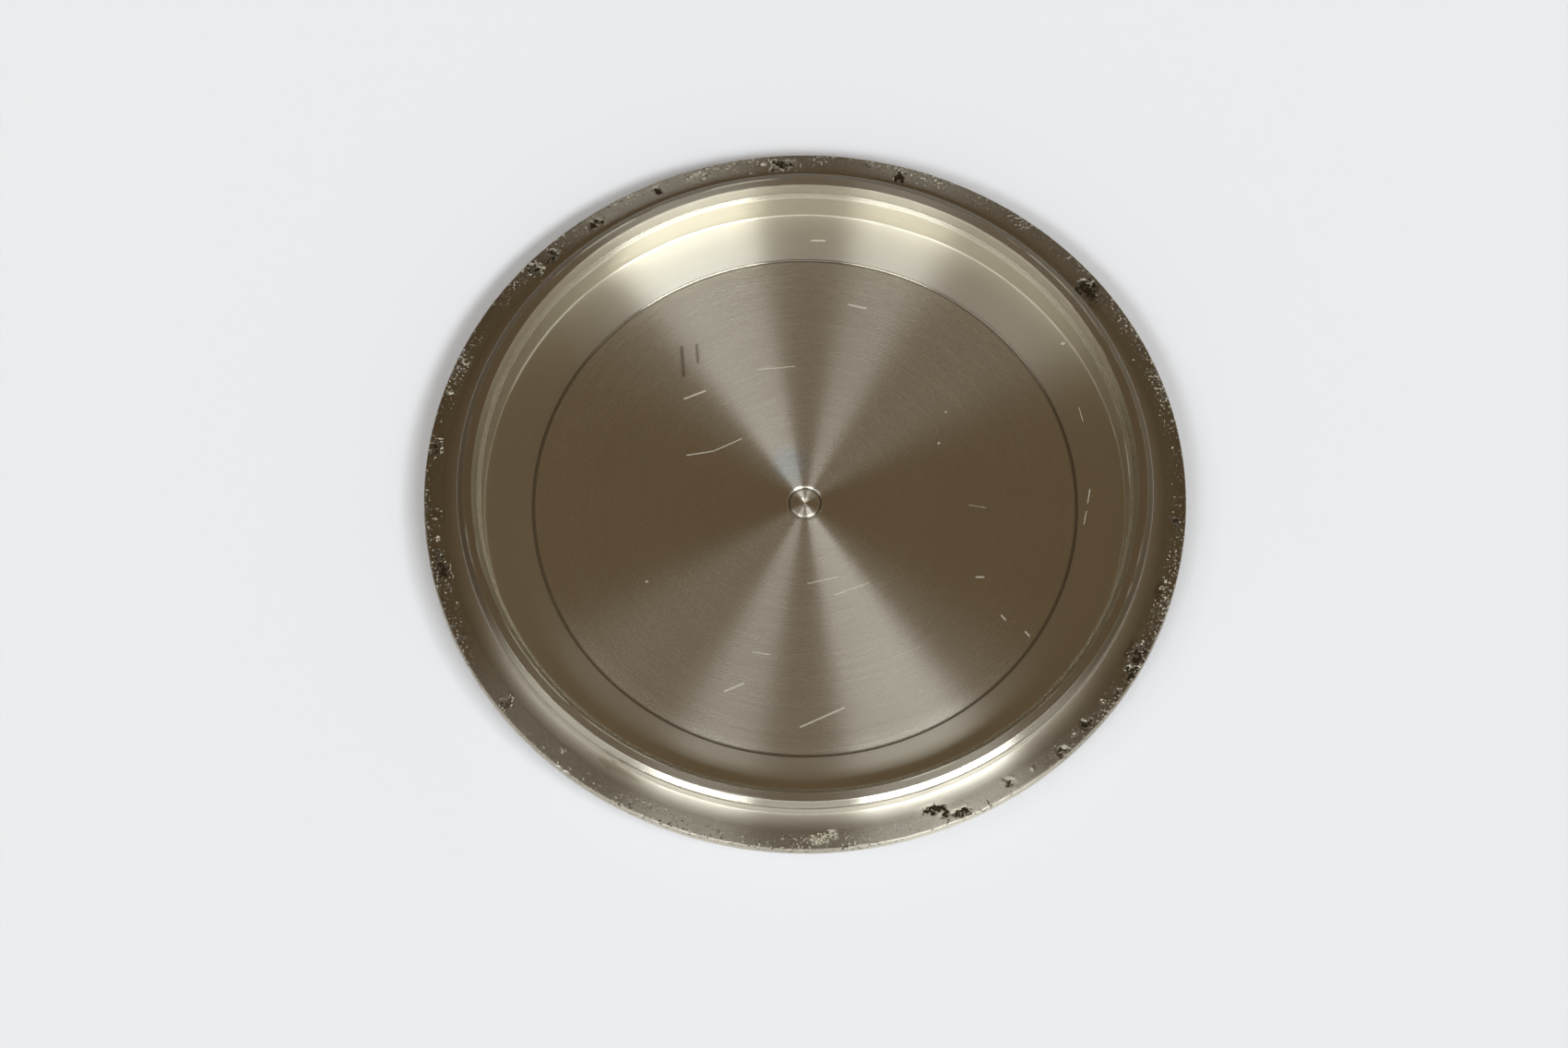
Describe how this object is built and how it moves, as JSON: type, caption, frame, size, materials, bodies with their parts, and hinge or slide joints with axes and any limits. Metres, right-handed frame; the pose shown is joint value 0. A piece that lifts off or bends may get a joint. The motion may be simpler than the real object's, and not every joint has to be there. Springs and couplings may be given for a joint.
{
  "type": "watch case back",
  "caption": "Press-fit steel case back of a wristwatch, inside up: thin round flange, raised snap collar with a bevelled mouth, and shallow turned recess.",
  "frame": {"origin": "centre of the flat outside face that the disc rests on", "axes": "+Z along the disc's axis, from the outside face to the snap collar; the disc is round, so X and Y are free"},
  "size_m": [0.031, 0.031, 0.0028],
  "materials": {
    "turned_steel": "lathe-turned stainless steel, fine concentric lines, corrosion pits on the flange"
  },
  "bodies": {
    "root": {"case_back": "turned_steel"}
  },
  "joints": []
}
